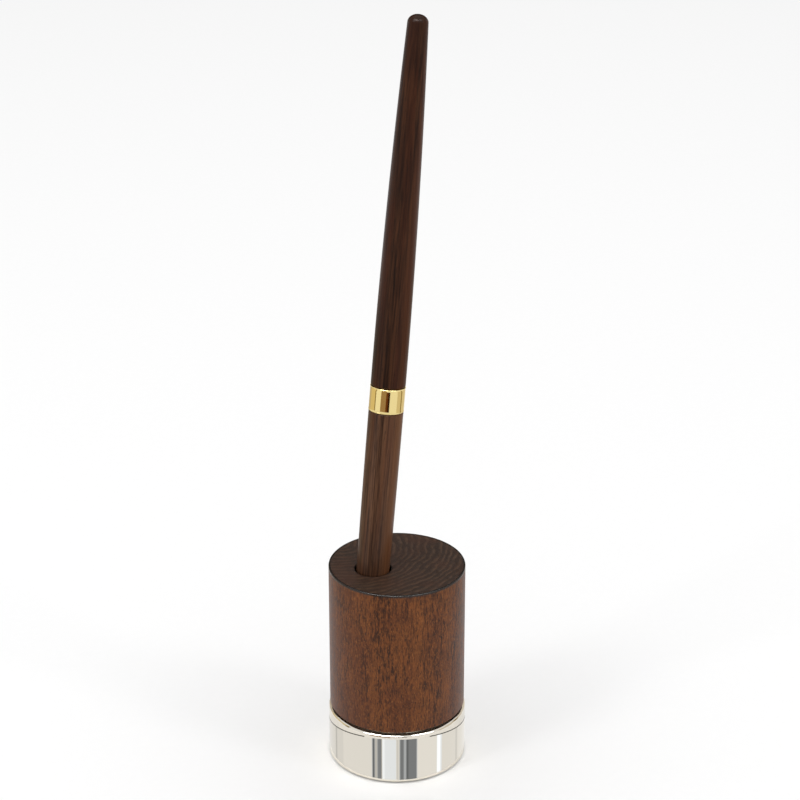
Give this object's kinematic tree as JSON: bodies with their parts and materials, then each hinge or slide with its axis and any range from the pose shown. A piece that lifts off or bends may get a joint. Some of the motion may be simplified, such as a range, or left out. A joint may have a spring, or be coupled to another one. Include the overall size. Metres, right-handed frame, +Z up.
{
  "type": "dip pen and desk stand",
  "caption": "Turned wooden dip pen with a gilt band, kept nib down in the slanted well of a round wooden desk stand on a polished metal foot.",
  "frame": {"origin": "centre of the felt pad's underside, on the surface that the stand rests on", "axes": "+Z up along the block's axis; the pen's well is on the -X side of the top and the pen leans towards +X and +Y"},
  "size_m": [0.0408, 0.0408, 0.222],
  "materials": {
    "block_wood": "stained hardwood with a satin lacquer",
    "tail_wood": "dark satin walnut",
    "grip_wood": "dark satin walnut, a little lighter",
    "polished_nickel": "mirror polished, slightly warm",
    "gold_plate": "polished gold plate",
    "brass": "machined",
    "steel": "satin",
    "nib_steel": "burnished spring steel",
    "felt": "felt"
  },
  "bodies": {
    "stand": {"wood_block": "block_wood", "foot_weight": "polished_nickel", "foot_pad": "felt", "foot_screw": "steel", "screw_washer": "steel", "threaded_insert": "brass"},
    "nib": {"nib": "nib_steel"},
    "holder": {"tail_barrel": "tail_wood", "centre_band": "gold_plate", "grip": "grip_wood", "joint_stud": "brass", "ferrule": "steel", "nib_clip": "steel"}
  },
  "joints": [
    {"name": "pen_lift", "type": "slide", "parent": "stand", "child": "nib", "axis": [0.08, 0.1031, 0.9914], "range_m": [0, 0.05]},
    {"name": "nib_release", "type": "slide", "parent": "nib", "child": "holder", "axis": [0.08, 0.1031, 0.9914], "range_m": [0, 0.016]}
  ]
}
